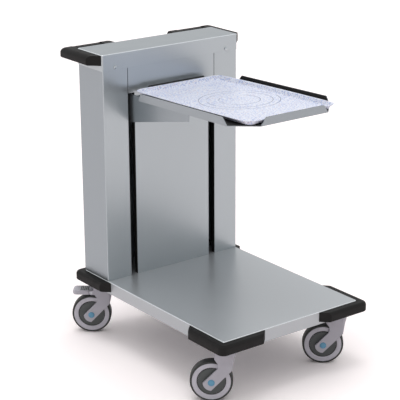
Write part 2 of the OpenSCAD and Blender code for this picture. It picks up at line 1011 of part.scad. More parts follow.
// Two ears that hold a brake pedal's pin
module pedal_ears() {
    for (s = [-1, 1])
        translate([0, s * (fork_in + leg_t / 2) + leg_t / 2, 0])
            rotate([90, 0, 0])
                linear_extrude(leg_t) {
                    translate([pedal_hinge_x, pedal_hinge_z])
                        circle(pedal_t / 2);
                    area([pedal_hinge_x, pedal_hinge_z - pedal_t / 2],
                         [-neck_r, pedal_hinge_z + pedal_t / 2]);
                }
}

module at_pedal_hinge() {
    translate([pedal_hinge_x, 0, pedal_hinge_z])
        rotate([90, 0, 0])
            children();
}

module fork(braked) {
    color(grey_plastic)
    difference() {
        union() {
            intersection() {
                translate([0, fork_out, 0])
                    rotate([90, 0, 0])
                        linear_extrude(2 * fork_out)
                            fork_side();
                linear_extrude(castor_h) {
                    circle(crown_r);
                    area([-2 * castor_trail - leg_w, -fork_out], [0, fork_out]);
                }
            }
            if (braked)
                pedal_ears();
        }
        at_axle()
            cylinder(r = well_r, h = 2 * fork_in, center = true);
        translate([0, 0, crown_top - 2 * bearing_h - rest_gap])
            cylinder(r = pin_r + run_gap, h = 3 * bearing_h);
        at_axle()
            cylinder(r = axle_r + run_gap, h = 3 * fork_out, center = true);
        if (braked)
            at_pedal_hinge()
                cylinder(r = pedal_pin_r + run_gap, h = 3 * fork_out, center = true);
    }
}

// Light wheel centre with a dished face on each side and a bored hub
module wheel() {
    face = wheel_w / 2;
    color(grey_plastic)
    at_axle()
        rotate_extrude()
            polygon([
                [axle_r + run_gap, -face], [disc_r / 3, -face],
                [disc_r / 2, wheel_dish - face], [disc_r, wheel_dish - face],
                [disc_r + wheel_dish, -face], [rim_r, -face],
                [rim_r, face], [disc_r + wheel_dish, face],
                [disc_r, face - wheel_dish], [disc_r / 2, face - wheel_dish],
                [disc_r / 3, face], [axle_r + run_gap, face]
            ]);
}

// Tyre with a crowned tread
module tyre() {
    face = wheel_w / 2;
    shoulder = (wheel_r - rim_r) / 2;
    color(tyre_black)
    at_axle()
        rotate_extrude()
            intersection() {
                area([rim_r, -face], [wheel_r, face]);
                union() {
                    area([rim_r, -face], [wheel_r - shoulder, face]);
                    area([rim_r, shoulder - face], [wheel_r, face - shoulder]);
                    for (s = [-1, 1])
                        translate([wheel_r - shoulder, s * (face - shoulder)])
                            circle(shoulder);
                }
            }
}

// Axle with a blue cap outside each leg of the fork
module axle() {
    color(cap_blue)
    at_axle() {
        cylinder(r = axle_r, h = 2 * fork_out, center = true);
        for (s = [-1, 1])
            translate([0, 0, s * (fork_out + axle_cap_h / 2)])
                cylinder(r = axle_cap_r, h = axle_cap_h, center = true);
    }
}

// Brake pedal, hinged between the fork's ears, with a shoe above the tyre
module brake_pedal() {
    knuckle_w = 2 * (fork_in - rest_gap);
    wide_x = pedal_hinge_x - pedal_t / 2 - rest_gap;
    tip_x = -pedal_l + pedal_t / 2;
    color(grey_plastic)
    difference() {
        union() {
            intersection() {
                translate([0, pedal_w / 2, pedal_hinge_z])
                    rotate([90, 0, 0])
                        linear_extrude(pedal_w) {
                            area([tip_x, -pedal_t / 2], [pedal_hinge_x, pedal_t / 2]);
                            translate([tip_x, 0])
                                circle(pedal_t / 2);
                            translate([pedal_hinge_x, 0])
                                circle(pedal_t / 2);
                        }
                linear_extrude(castor_h) {
                    area([-pedal_l, pedal_corner_r - pedal_w / 2],
                         [wide_x, pedal_w / 2 - pedal_corner_r]);
                    area([pedal_corner_r - pedal_l, -pedal_w / 2], [wide_x, pedal_w / 2]);
                    for (s = [-1, 1])
                        translate([pedal_corner_r - pedal_l, s * (pedal_w / 2 - pedal_corner_r)])
                            circle(pedal_corner_r);
                    area([wide_x, -knuckle_w / 2], [0, knuckle_w / 2]);
                }
            }
            block([wide_x - shoe_l, -wheel_w / 2, pedal_hinge_z - pedal_t / 2 - shoe_h],
                  [wide_x, wheel_w / 2, pedal_hinge_z]);
        }
        at_pedal_hinge()
            cylinder(r = pedal_pin_r + run_gap, h = 3 * fork_out, center = true);
    }
}

module pedal_pin() {
    color(steel)
    at_pedal_hinge()
        cylinder(r = pedal_pin_r, h = 2 * fork_out, center = true);
}

module swivel_front_left() {
    at_castor(false, false)
        swivel();
}

module swivel_front_right() {
    at_castor(true, false)
        swivel();
}

module swivel_rear_left() {
    at_castor(false, true)
        swivel();
}

module swivel_rear_right() {
    at_castor(true, true)
        swivel();
}

module fork_front_left() {
    at_castor(false, false)
        fork(false);
}

module fork_front_right() {
    at_castor(true, false)
        fork(false);
}

module fork_rear_left() {
    at_castor(false, true)
        fork(true);
}

module fork_rear_right() {
    at_castor(true, true)
        fork(true);
}

module wheel_front_left() {
    at_castor(false, false)
        wheel();
}

module wheel_front_right() {
    at_castor(true, false)
        wheel();
}

module wheel_rear_left() {
    at_castor(false, true)
        wheel();
}

module wheel_rear_right() {
    at_castor(true, true)
        wheel();
}

module tyre_front_left() {
    at_castor(false, false)
        tyre();
}

module tyre_front_right() {
    at_castor(true, false)
        tyre();
}

module tyre_rear_left() {
    at_castor(false, true)
        tyre();
}

module tyre_rear_right() {
    at_castor(true, true)
        tyre();
}

module axle_front_left() {
    at_castor(false, false)
        axle();
}

module axle_front_right() {
    at_castor(true, false)
        axle();
}

module axle_rear_left() {
    at_castor(false, true)
        axle();
}

module axle_rear_right() {
    at_castor(true, true)
        axle();
}

module brake_pedal_left() {
    at_castor(false, true)
        brake_pedal();
}

module brake_pedal_right() {
    at_castor(true, true)
        brake_pedal();
}

module pedal_pin_left() {
    at_castor(false, true)
        pedal_pin();
}

module pedal_pin_right() {
    at_castor(true, true)
        pedal_pin();
}

deck_panel();
deck_channels();
tower_side_left();
tower_side_right();
front_strip_left();
front_strip_right();
centre_panel();
back_cover();
top_cap();
cap_screws();
push_handle_left();
push_handle_right();
bumper_front_left();
bumper_front_right();
bumper_rear_left();
bumper_rear_right();
guide_rails();
spring_hanger();
spring_1();
spring_2();
spring_3();
spring_4();
rubber_stops();
carriage_plate();
roller_pins();
roller_upper_left();
roller_upper_right();
roller_lower_left();
roller_lower_right();
arm_left();
arm_right();
arm_bolts();
tray_platform();
platform_liner();
serving_tray();
swivel_front_left();
swivel_front_right();
swivel_rear_left();
swivel_rear_right();
fork_front_left();
fork_front_right();
fork_rear_left();
fork_rear_right();
wheel_front_left();
wheel_front_right();
wheel_rear_left();
wheel_rear_right();
tyre_front_left();
tyre_front_right();
tyre_rear_left();
tyre_rear_right();
axle_front_left();
axle_front_right();
axle_rear_left();
axle_rear_right();
brake_pedal_left();
brake_pedal_right();
pedal_pin_left();
pedal_pin_right();
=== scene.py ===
# Mobile tray dispenser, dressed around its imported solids.
# Every length is in metres, in the frame of the solids: X runs across, the open side faces -Y and Z is up
# from the floor.

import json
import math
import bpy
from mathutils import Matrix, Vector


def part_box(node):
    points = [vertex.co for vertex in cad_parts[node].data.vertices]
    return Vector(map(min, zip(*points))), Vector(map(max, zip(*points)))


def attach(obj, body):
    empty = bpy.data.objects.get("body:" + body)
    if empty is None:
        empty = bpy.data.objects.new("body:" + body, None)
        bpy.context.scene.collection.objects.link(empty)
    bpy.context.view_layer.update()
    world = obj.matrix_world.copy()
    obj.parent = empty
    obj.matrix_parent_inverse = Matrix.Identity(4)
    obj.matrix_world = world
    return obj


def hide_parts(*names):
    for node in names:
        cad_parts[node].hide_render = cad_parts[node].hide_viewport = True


bl_info = {
    "name": "Mobile tray dispenser",
    "version": (1, 0, 0),
    "blender": (4, 5, 0),
    "location": "3D View > Sidebar > Tray cart",
    "description": "Finishes the pieces of a mobile tray dispenser and sets up its studio",
    "category": "Object",
}

import bmesh
import bpy
from mathutils import Matrix, Vector

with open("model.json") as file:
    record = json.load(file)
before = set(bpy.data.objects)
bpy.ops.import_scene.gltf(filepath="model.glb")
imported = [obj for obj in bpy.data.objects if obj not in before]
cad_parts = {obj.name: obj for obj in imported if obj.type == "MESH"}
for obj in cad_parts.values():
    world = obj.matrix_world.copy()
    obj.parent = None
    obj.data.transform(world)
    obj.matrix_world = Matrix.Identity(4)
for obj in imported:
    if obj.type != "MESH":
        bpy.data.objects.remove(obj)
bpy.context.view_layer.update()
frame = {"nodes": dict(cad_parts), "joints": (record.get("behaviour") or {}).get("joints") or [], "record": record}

BODIES = frame["record"]["behaviour"]["bodies"]
BODY_OF = {node: body for body, nodes in BODIES.items() for node in nodes}
SLOT_OF = {row["node"]: row["material_slot"] for row in frame["record"]["subparts"]}
JOINTS = {joint["name"]: joint for joint in frame["joints"]}
CORNERS = ("front_left", "front_right", "rear_left", "rear_right")
SIDES = ("left", "right")
MM = 0.001

# Joined vertices of a solid's triangles lie closer than this
WELD = 1e-6
# Faces that turn less than this are one flat face
FLAT = math.radians(0.2)
# Edges that turn more than this are the edges of a sheet or moulding
SHARP = math.radians(28)
# A face looks along an axis when that part of its normal is more than this
FACING = 0.9
# A face is flat sheet, and no rounded fold, when its normal's largest part is more than this
SQUARE = 0.98
# An edge stands upright when it is more than this share of its piece's height
UPRIGHT = 0.9
# Steps of a rounded edge, of a fold and of a piece turned about an axle
EDGE_STEPS = 2
FOLD_STEPS = 4
TURN_STEPS = 96

# The tray's floor, from the mount that stands for it
TRAY_MOUNT = next(mount for mount in frame["record"]["mounts"] if mount["name"] == "tray_load")
TRAY_FLOOR = Vector(TRAY_MOUNT["pos_m"])
# The rings printed on the tray: their middle, their radii, half the width of their lines, and the patches
# in a metre where they show or fade
PRINT_CENTRE = TRAY_FLOOR + Vector((22 * MM, -4 * MM, 0))
PRINT_RADII = (61 * MM, 98 * MM, 120 * MM)
PRINT_LINE = 1.3 * MM
PRINT_PATCHES = 14
# Blue and warm specks in a metre of the tray's print
BLUE_SPECKS = 210
WARM_SPECKS = 190

# What a soft noise mostly lies between
NOISE_RANGE = (0.3, 0.7)
# Satin sheet: spacing and length of its drawn lines, waves in a metre, height of a wave, and what lines and
# waves add to the roughness
LINE_APART = 1.5 * MM
LINE_LENGTH = 120 * MM
SHEET_WAVES = 9
WAVE_HEIGHT = 0.3 * MM
LINE_BLUR = 0.04
WAVE_BLUR = 0.02
# Grains in a metre of zinc plating, and clouds in a metre of moulded plastic
ZINC_GRAINS = 250
CLOUDS = 30

# Ribs across a brake pedal: their number, the first one's place ahead of the swivel, their spacing and their
# size, of which a little is sunk into the pedal
RIBS = 5
RIB_START = -71 * MM
RIB_APART = 5.6 * MM
RIB_SIZE = (3.4 * MM, 33 * MM, 2.4 * MM)
RIB_SUNK = 0.3 * MM
RIB_ROUND = 0.7 * MM
RIB_ROUND_STEPS = 3

# Studio: half the width of the floor, how much lighter the camera sees it than the part does, the light of
# the room straight overhead, and the lamp
FLOOR_HALF = 20
FLOOR_LIFT = 1.25
OVERHEAD_LIGHT = 1.38
LAMP_STRENGTH = 0.5
LAMP_SPREAD = math.radians(25)
LAMP_HEIGHT = 4
LAMP_AIM = Vector((0.05, -0.05, -1))

# Camera: its place, turn, rise, roll and lens, worked out from the corners of the deck and the cap
CAMERA_PLACE = (-2.5178, -3.2815, 1.8506)
CAMERA_TURN = math.radians(-36.918)
CAMERA_RISE = math.radians(18.398)
CAMERA_ROLL = math.radians(-0.319)
CAMERA_LENS = 129.35
CAMERA_SENSOR = 36


def srgb(text):
    """Turn an sRGB hex value into the linear colour that Blender works with."""
    parts = [int(text[start:start + 2], 16) / 255 for start in (1, 3, 5)]
    return tuple(part / 12.92 if part <= 0.04045 else ((part + 0.055) / 1.055) ** 2.4 for part in parts)


def length_setting(name, description, size):
    """A length that the panel shows."""
    return bpy.props.FloatProperty(
        name=name, description=description, default=size, min=0, unit="LENGTH")


def colour_setting(name, description, text):
    """A colour that the panel shows, from its sRGB hex value."""
    return bpy.props.FloatVectorProperty(
        name=name, description=description, subtype="COLOR", default=srgb(text), min=0, max=1)


class TRAYCART_PG_sizes(bpy.types.PropertyGroup):
    """Sizes that finish the pieces."""

    sheet_edge: length_setting("Sheet edge", "Rounding of the cut edges of the sheet metal", 0.4 * MM)
    fold_edge: length_setting("Fold", "Outer radius of the folds along the deck and the cap", 2.4 * MM)
    moulding_edge: length_setting("Moulding edge", "Rounding of the edges of bumpers and handles", 1.2 * MM)
    fork_edge: length_setting("Fork edge", "Rounding of the edges of the castors' forks and pedals", 1.8 * MM)
    tray_wall: length_setting("Tray thickness", "Thickness of the serving tray", 2.4 * MM)
    tray_width: length_setting("Tray width", "Width of the serving tray, across its middle", 336 * MM)
    tray_length: length_setting("Tray length", "Length of the serving tray", 552 * MM)
    tray_corner: length_setting("Tray corner", "Radius of the serving tray's corners", 30 * MM)
    tray_bow: length_setting("Tray bow", "How far the tray's long sides bow outwards", 5 * MM)


class TRAYCART_PG_colours(bpy.types.PropertyGroup):
    """Colours of the finishes."""

    steel: colour_setting("Tower steel", "Satin stainless steel of the tower", "#b0b7bb")
    # A darker copy of the tower steel: painted shade for the outer walls, the cap's top, the arms and the platform
    painted_shade_steel: colour_setting("Side steel", "Satin steel darkened as painted shade on walls, cap top, arms and platform", "#949ba0")
    deck_steel: colour_setting("Deck steel", "Satin stainless steel of the deck", "#b3b7bb")
    inner_steel: colour_setting("Inner steel", "Zinc-plated steel of the parts inside", "#8c9196")
    moulding: colour_setting("Mouldings", "Black plastic of bumpers and handles", "#161515")
    # This black is also painted on the faces along the slots, as painted shade
    lining: colour_setting("Lining", "Black lining of the platform, also painted shade in the slots", "#0d0c0d")
    tray: colour_setting("Tray", "Ground colour of the serving tray's laminate", "#e3e7f3")
    fork: colour_setting("Forks", "Grey nylon of the castors' forks and pedals", "#b2b0b9")
    rim: colour_setting("Wheel centres", "Light grey of the wheels' outer rings", "#c4c2cb")
    disc: colour_setting("Hub discs", "Dark grey of the wheels' middle discs", "#474b4b")
    tyre: colour_setting("Tyres", "Black rubber of the tyres", "#2b2d2c")
    cap: colour_setting("Axle caps", "Blue caps over the ends of the axles", "#5e97b6")


# Materials


def add(tree, kind, inputs=None, **settings):
    """Add a node, apply its settings and fill or link its inputs."""
    node = tree.nodes.new(kind)
    for key, value in settings.items():
        setattr(node, key, value)
    for key, value in (inputs or {}).items():
        if isinstance(value, bpy.types.NodeSocket):
            tree.links.new(value, node.inputs[key])
        else:
            node.inputs[key].default_value = value
    return node


def new_material(name):
    """Make an empty material and return it with its node tree."""
    material = bpy.data.materials.new(name)
    material.use_nodes = True
    tree = material.node_tree
    tree.nodes.clear()
    return material, tree


def show(tree, shader):
    """Make a shader the surface of its material."""
    add(tree, "ShaderNodeOutputMaterial", {"Surface": shader.outputs[0]})


def rgba(colour, share=1):
    """A colour, or a lighter or darker share of it, as a node's socket takes it."""
    return (*(min(1, part * share) for part in colour), 1)


def stretched(tree, scale):
    """Object coordinates, stretched so that a noise of scale 1 has these features per metre."""
    place = add(tree, "ShaderNodeTexCoord")
    return add(tree, "ShaderNodeMapping", {"Vector": place.outputs["Object"], "Scale": scale}).outputs[0]


def noise(tree, scale, detail=2):
    """A soft noise with these features per metre along each axis."""
    return add(tree, "ShaderNodeTexNoise",
               {"Vector": stretched(tree, scale), "Scale": 1, "Detail": detail}).outputs[0]


def spread(tree, value, low, high, start=0, end=1):
    """Stretch what a value does between start and end over low to high."""
    return add(tree, "ShaderNodeMapRange", {0: value, 1: start, 2: end, 3: low, 4: high}).outputs[0]


def blend(tree, share, first, second):
    """A colour between two colours."""
    return add(tree, "ShaderNodeMix", {0: share, 6: first, 7: second}, data_type="RGBA").outputs[2]


def maths(tree, operation, *values, **settings):
    """One step of arithmetic."""
    return add(tree, "ShaderNodeMath", dict(enumerate(values)), operation=operation, **settings).outputs[0]


def satin_sheet(name, colour, rough, along, metallic=0.85):
    """Satin stainless sheet: fine lines of grinding along one axis blur what it mirrors.

    Along is the number of that axis. The grit leaves lines about 0.15 mm apart, drawn ten times as far apart,
    and a sheet is never quite flat: it waves by about 0.1 mm over a hand's breadth."""
    material, tree = new_material(name)
    fine = [1 / LINE_APART] * 3
    fine[along] = 1 / LINE_LENGTH
    lines = noise(tree, fine, 1)
    waves = noise(tree, [SHEET_WAVES] * 3, 1)
    smear = spread(tree, waves, rough - WAVE_BLUR, rough + WAVE_BLUR, *NOISE_RANGE)
    roughness = maths(tree, "MULTIPLY_ADD", lines, LINE_BLUR, smear)
    ripple = add(tree, "ShaderNodeBump", {"Strength": 0.3, "Distance": WAVE_HEIGHT, "Height": waves})
    show(tree, add(tree, "ShaderNodeBsdfPrincipled", {
        "Base Color": blend(tree, waves, rgba(colour, 0.95), rgba(colour)), "Metallic": metallic,
        "Roughness": roughness, "Normal": ripple.outputs[0]}))
    return material


def plated_steel(name, colour, rough):
    """Zinc-plated steel: a dull grey with small lighter and darker grains, about 4 mm across."""
    material, tree = new_material(name)
    place = stretched(tree, [ZINC_GRAINS] * 3)
    grains = add(tree, "ShaderNodeTexVoronoi", {"Vector": place, "Scale": 1}).outputs[0]
    show(tree, add(tree, "ShaderNodeBsdfPrincipled", {
        "Base Color": blend(tree, grains, rgba(colour, 0.8), rgba(colour)), "Metallic": 1,
        "Roughness": spread(tree, grains, rough - 0.06, rough + 0.06)}))
    return material


def moulded(name, colour, rough, grain, depth, specular=0.5):
    """Moulded plastic or rubber: an even colour, a fine leathery grain and slight changes of gloss.

    Grain is the distance between the pits of the mould's etching, and depth is how deep they are."""
    material, tree = new_material(name)
    pits = add(tree, "ShaderNodeTexVoronoi", {"Vector": stretched(tree, [1 / grain] * 3), "Scale": 1},
               feature="SMOOTH_F1")
    cloud = noise(tree, [CLOUDS] * 3, 3)
    relief = add(tree, "ShaderNodeBump", {"Strength": 0.5, "Distance": depth, "Height": pits.outputs[0]})
    show(tree, add(tree, "ShaderNodeBsdfPrincipled", {
        "Base Color": blend(tree, cloud, rgba(colour, 0.88), rgba(colour, 1.1)),
        "Roughness": spread(tree, cloud, rough - 0.05, rough + 0.05, *NOISE_RANGE),
        "Specular IOR Level": specular, "Normal": relief.outputs[0]}))
    return material


def speckled_laminate(name, colour):
    """Melamine laminate of a serving tray: satin, with a print of fine blue and warm specks and plain rings.

    The specks are about 1.5 mm across and drawn twice as large, and the rings' 0.8 mm lines are drawn
    three times as wide, so that they show. The rings' print is uneven: they are only seen in part."""
    material, tree = new_material(name)
    place = stretched(tree, (1, 1, 1))
    blue = add(tree, "ShaderNodeTexNoise", {"Vector": place, "Scale": BLUE_SPECKS, "Detail": 2}).outputs[0]
    warm = add(tree, "ShaderNodeTexNoise",
               {"Vector": place, "Scale": WARM_SPECKS, "Detail": 2, "Distortion": 0.4}).outputs[0]
    shade = blend(tree, spread(tree, blue, 0, 0.9, 0.5, 0.6), rgba(colour), rgba(srgb("#a6b6de")))
    shade = blend(tree, spread(tree, warm, 0, 0.6, 0.55, 0.68), shade, rgba(srgb("#c9b4bd")))
    middle = add(tree, "ShaderNodeVectorMath", {0: place, 1: PRINT_CENTRE}, operation="DISTANCE")
    patches = add(tree, "ShaderNodeTexNoise", {"Vector": place, "Scale": PRINT_PATCHES}).outputs[0]
    shown = spread(tree, patches, 0.1, 1, 0.38, 0.5)
    for radius in PRINT_RADII:
        ring = maths(tree, "COMPARE", middle.outputs["Value"], radius, PRINT_LINE)
        line = maths(tree, "MULTIPLY", ring, shown)
        shade = blend(tree, line, shade, rgba(srgb("#828ba6")))
    relief = add(tree, "ShaderNodeBump", {"Strength": 0.2, "Distance": 0.03 * MM, "Height": blue})
    show(tree, add(tree, "ShaderNodeBsdfPrincipled", {
        "Base Color": shade, "Roughness": 0.36, "Normal": relief.outputs[0]}))
    return material


def make_materials():
    """One material for each finish, by its own name or by that of the slot in the record that it fills."""
    colours = bpy.context.scene.tray_cart_colours
    upright, lengthwise = 2, 1
    return {
        "satin_steel": satin_sheet(
            "Satin stainless steel, upright lines", colours.steel, 0.3, upright, 0.7),
        "deck_steel": satin_sheet(
            "Satin stainless steel, lines along the deck", colours.deck_steel, 0.31, lengthwise, 0.45),
        # The darker copy of the tower steel, used as painted shade
        "painted_shade_steel": satin_sheet(
            "Satin stainless steel of walls and arms", colours.painted_shade_steel, 0.32, upright),
        "bright_steel": satin_sheet(
            "Bright stainless steel of screws and pins", colours.steel, 0.2, upright),
        # A much lighter steel for the upward folds of deck and cap: a painted highlight
        "fold_highlight_steel": satin_sheet(
            "Stainless steel, painted highlight along the folds", srgb("#e9edf1"), 0.2, lengthwise, 0.9),
        "inner_steel": plated_steel("Zinc-plated steel", colours.inner_steel, 0.45),
        "spring_steel": plated_steel("Oiled spring steel", [part * 0.7 for part in colours.inner_steel], 0.4),
        "bumper_black": moulded(
            "Black moulded polypropylene", colours.moulding, 0.6, 0.9 * MM, 0.05 * MM, 0.2),
        "stop_rubber": moulded("Black stop rubber", colours.tyre, 0.7, 1.2 * MM, 0.05 * MM),
        "roller_plastic": moulded("White nylon rollers", srgb("#c9c8c2"), 0.4, 1.5 * MM, 0.03 * MM),
        # Also laid on the faces along the slots, where it is painted shade
        "lining_black": moulded("Black platform lining and painted slot shade", colours.lining, 0.55, 0.8 * MM, 0.06 * MM),
        "tray_laminate": speckled_laminate("Speckled tray laminate", colours.tray),
        "fork_grey": moulded("Grey nylon of the forks", colours.fork, 0.42, 1.0 * MM, 0.03 * MM),
        "rim_grey": moulded("Grey nylon of the wheels", colours.rim, 0.45, 1.0 * MM, 0.03 * MM),
        "disc_grey": moulded("Dark plastic of the hub discs", colours.disc, 0.5, 0.8 * MM, 0.03 * MM),
        "tyre_rubber": moulded("Tyre rubber", colours.tyre, 0.6, 1.0 * MM, 0.05 * MM),
        "axle_blue": moulded("Blue plastic caps", colours.cap, 0.4, 1.2 * MM, 0.02 * MM),
    }


MATERIALS = {}


# Meshes


def place_piece(bm, name, body, finish, replaces=(), weighted=True):
    """Turn a bmesh into a piece that rides on a body and hides the solids that it replaces."""
    mesh = bpy.data.meshes.new(name)
    bm.to_mesh(mesh)
    bm.free()
    for face in mesh.polygons:
        face.use_smooth = True
    piece = bpy.data.objects.new(name, mesh)
    bpy.context.scene.collection.objects.link(piece)
    mesh.materials.append(MATERIALS[finish])
    if weighted:
        normals = piece.modifiers.new("Even shading", "WEIGHTED_NORMAL")
        normals.weight = 100
        normals.keep_sharp = True
    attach(piece, body)
    if replaces:
        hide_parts(*replaces)
    return piece


def sharp_edges(bm):
    """The edges where two faces meet at a sharp angle."""
    return [e for e in bm.edges if e.is_manifold and e.calc_face_angle(0) > SHARP]


def round_edges(bm, edges, radius, steps=EDGE_STEPS):
    """Round some edges of a mesh."""
    if edges:
        bmesh.ops.bevel(bm, geom=edges, offset=radius, offset_type="OFFSET", segments=steps, profile=0.5,
                        affect="EDGES", clamp_overlap=True, material=-1)


def solid_of(*nodes, joint=None):
    """A clean mesh of one or more solids: loose triangles joined, and flat faces made whole.

    Joint picks the faces where two solids meet, which are taken out so that they become one."""
    bm = bmesh.new()
    for node in nodes:
        bm.from_mesh(frame["nodes"][node].data)
    bmesh.ops.remove_doubles(bm, verts=bm.verts, dist=WELD)
    if joint:
        bmesh.ops.delete(bm, geom=[f for f in bm.faces if joint(f)], context="FACES")
    bmesh.ops.dissolve_limit(bm, angle_limit=FLAT, verts=bm.verts, edges=bm.edges)
    return bm


def finish_solid(node, radius, finish=None, folds=None, fold_radius=0, also=(), joint=None):
    """Stand a piece with rounded edges in the place of a solid, or of solids that are one piece.

    Folds picks the edges that are folds, which get a radius of their own."""
    bm = solid_of(node, *also, joint=joint)
    if folds:
        round_edges(bm, [e for e in sharp_edges(bm) if folds(e)], fold_radius, FOLD_STEPS)
    round_edges(bm, [e for e in sharp_edges(bm) if not (folds and folds(e))], radius)
    slot = SLOT_OF[node]
    return place_piece(bm, node + "_finished", BODY_OF[node], finish or slot, (node, *also))


def paint(piece, finish, chosen):
    """Give the chosen faces of a piece a finish of their own."""
    piece.data.materials.append(MATERIALS[finish])
    for face in piece.data.polygons:
        if chosen(face):
            face.material_index = len(piece.data.materials) - 1


def paint_fold_highlight(piece):
    """Give the upward rounded folds of a sheet a much lighter steel: a painted highlight along the folds."""
    paint(piece, "fold_highlight_steel", lambda face: max(map(abs, face.normal)) < SQUARE and face.normal.z > 0)


def clothe(*nodes):
    """Give the solids that stay as they are their material."""
    for node in nodes:
        data = frame["nodes"][node].data
        data.materials.clear()
        data.materials.append(MATERIALS[SLOT_OF[node]])


def turned(profile):
    """A mesh turned about Z from (radius, height) points. A profile that starts on the axis isn't closed."""
    bm = bmesh.new()
    points = [bm.verts.new((r, 0, z)) for r, z in profile]
    ends = zip(points, points[1:]) if profile[0][0] == 0 else zip(points, points[1:] + points[:1])
    edges = [bm.edges.new(pair) for pair in ends]
    bmesh.ops.spin(bm, geom=points + edges, cent=(0, 0, 0), axis=(0, 0, 1), angle=2 * math.pi,
                   steps=TURN_STEPS, use_merge=True)
    bmesh.ops.remove_doubles(bm, verts=bm.verts, dist=WELD)
    bmesh.ops.recalc_face_normals(bm, faces=bm.faces)
    return bm


def castor_place(corner):
    """The frame of a castor: Z up through its swivel, and X away from the wheel."""
    swivel = Vector(JOINTS[f"castor_{corner}_swivel"]["pos_m"])
    wheel = Vector(JOINTS[f"wheel_{corner}_spin"]["pos_m"])
    ahead = Vector((swivel.x - wheel.x, swivel.y - wheel.y, 0)).normalized()
    up = Vector((0, 0, 1))
    turn = Matrix((ahead, up.cross(ahead), up)).transposed().to_4x4()
    return Matrix.Translation((swivel.x, swivel.y, 0)) @ turn


def wheel_place(corner):
    """The frame of a wheel: its middle, with Z along the axle."""
    wheel = Vector(JOINTS[f"wheel_{corner}_spin"]["pos_m"])
    castor = castor_place(corner)
    local = castor.inverted() @ wheel
    return castor @ Matrix.Translation(local) @ Matrix.Rotation(math.radians(90), 4, "X")


# Operators


class TRAYCART_OT_deck(bpy.types.Operator):
    """Finish the deck and the channels under it"""

    bl_idname = "traycart.deck"
    bl_label = "Deck"

    def execute(self, context):
        sizes = context.scene.tray_cart_sizes
        low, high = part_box("deck_panel")

        def folds(edge):
            levels = [v.co.z for v in edge.verts]
            along_top = min(levels) > high.z - WELD
            upright = max(levels) - min(levels) > UPRIGHT * (high.z - low.z)
            return along_top or upright

        paint_fold_highlight(finish_solid("deck_panel", sizes.sheet_edge, "deck_steel", folds, sizes.fold_edge))
        clothe("deck_channels")
        return {"FINISHED"}


class TRAYCART_OT_tower(bpy.types.Operator):
    """Finish the sheets of the tower, its cap and the two screws"""

    bl_idname = "traycart.tower"
    bl_label = "Tower"

    def execute(self, context):
        sizes = context.scene.tray_cart_sizes
        seam_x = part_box("front_strip_right")[1].x
        cap_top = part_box("top_cap")[1].z

        def at_seam(face):
            return all(abs(abs(v.co.x) - seam_x) < WELD for v in face.verts)

        def outside(face):
            return abs(face.normal.x) > FACING and abs(face.center.x) > seam_x

        def along_slot(face):
            return abs(face.normal.x) > FACING and abs(face.center.x) < seam_x

        def folds(edge):
            return all(v.co.z > cap_top - WELD for v in edge.verts)

        # The edges of the slots are painted black as painted shade, and the outer sides and the cap's top get a
        # darker steel as painted shade
        finish_solid("back_cover", sizes.sheet_edge)
        paint(finish_solid("centre_panel", sizes.sheet_edge), "lining_black", along_slot)
        for side in SIDES:
            strip = "front_strip_" + side
            wall = finish_solid("tower_side_" + side, sizes.sheet_edge, also=(strip,), joint=at_seam)
            paint(wall, "painted_shade_steel", outside)
            paint(wall, "lining_black", along_slot)
        cap = finish_solid("top_cap", sizes.sheet_edge, None, folds, sizes.fold_edge)
        paint_fold_highlight(cap)
        paint(cap, "painted_shade_steel", lambda face: face.normal.z > SQUARE)
        clothe("cap_screws")
        return {"FINISHED"}


class TRAYCART_OT_mouldings(bpy.types.Operator):
    """Finish the corner bumpers and the two push handles"""

    bl_idname = "traycart.mouldings"
    bl_label = "Bumpers and handles"

    def execute(self, context):
        sizes = context.scene.tray_cart_sizes
        for side in SIDES:
            finish_solid("push_handle_" + side, sizes.moulding_edge)
        for corner in CORNERS:
            finish_solid("bumper_" + corner, sizes.moulding_edge)
        return {"FINISHED"}


class TRAYCART_OT_lift(bpy.types.Operator):
    """Finish the rails, springs, stops, carriage and rollers inside the tower"""

    bl_idname = "traycart.lift"
    bl_label = "Lift inside the tower"

    def execute(self, context):
        sizes = context.scene.tray_cart_sizes
        for node in ("guide_rails", "spring_hanger", "carriage_plate"):
            finish_solid(node, sizes.sheet_edge)
        clothe("spring_1", "spring_2", "spring_3", "spring_4", "rubber_stops", "roller_pins")
        for side in SIDES:
            clothe("roller_upper_" + side, "roller_lower_" + side)
        return {"FINISHED"}


class TRAYCART_OT_platform(bpy.types.Operator):
    """Finish the arms, their bolts, the tray platform and its lining"""

    bl_idname = "traycart.platform"
    bl_label = "Arms and tray platform"

    def execute(self, context):
        sizes = context.scene.tray_cart_sizes
        # The arms and the platform take the darker steel, a painted shade
        for node in ("arm_left", "arm_right", "tray_platform"):
            finish_solid(node, sizes.sheet_edge, "painted_shade_steel")
        finish_solid("platform_liner", sizes.sheet_edge)
        clothe("arm_bolts")
        return {"FINISHED"}


